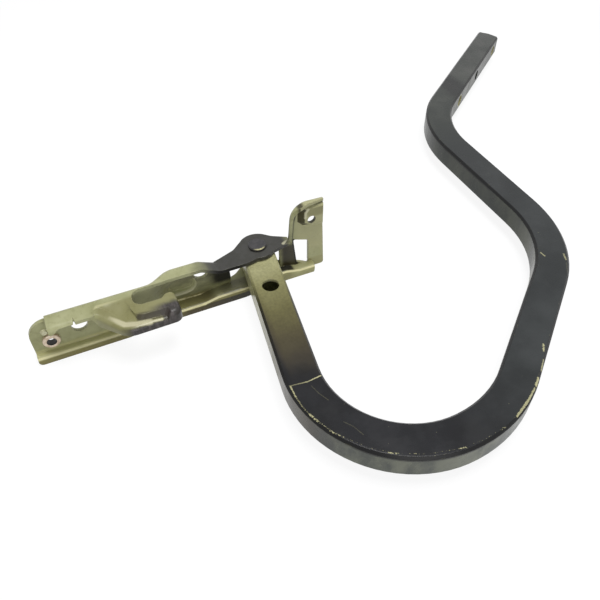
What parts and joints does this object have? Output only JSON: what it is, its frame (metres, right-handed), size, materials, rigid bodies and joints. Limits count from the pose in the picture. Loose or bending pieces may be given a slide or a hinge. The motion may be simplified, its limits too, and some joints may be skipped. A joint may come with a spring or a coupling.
{
  "type": "trunk lid hinge",
  "caption": "Gooseneck lid hinge: a stamped body bracket with a hook lobe carries a bent rectangular tube arm on a riveted pivot.",
  "frame": {"origin": "on the pivot axis, level with the lower edge of the bracket's lip", "axes": "+Z along the pivot axis from the lower to the upper ear, +X along the bracket towards its tall end plate, -Y towards the side where the arm's loop hangs"},
  "size_m": [0.5098, 0.416, 0.0594],
  "materials": {
    "bracket_paint": "khaki dip coat, satin, with dark overspray at the ear",
    "arm_paint": "black over khaki dip coat, satin, worn at the edges",
    "plain_steel": "thin khaki dip coat",
    "bush_polymer": "matte",
    "rivet_paint": "dark overspray",
    "collar_steel": "bare, slightly warm"
  },
  "bodies": {
    "bracket": {"body_bracket": "bracket_paint", "pivot_rivet": "rivet_paint", "mounting_collar": "collar_steel"},
    "arm": {"gooseneck_arm": "arm_paint", "pivot_sleeve": "plain_steel", "upper_pivot_bush": "bush_polymer", "lower_pivot_bush": "bush_polymer", "front_bolt_sleeve": "plain_steel", "rear_bolt_sleeve": "plain_steel"}
  },
  "joints": [
    {"name": "arm_pivot", "type": "hinge", "parent": "bracket", "child": "arm", "pos_m": [0, 0, 0.0175], "axis": [0, 0, 1], "range_deg": [-38, 32]}
  ]
}
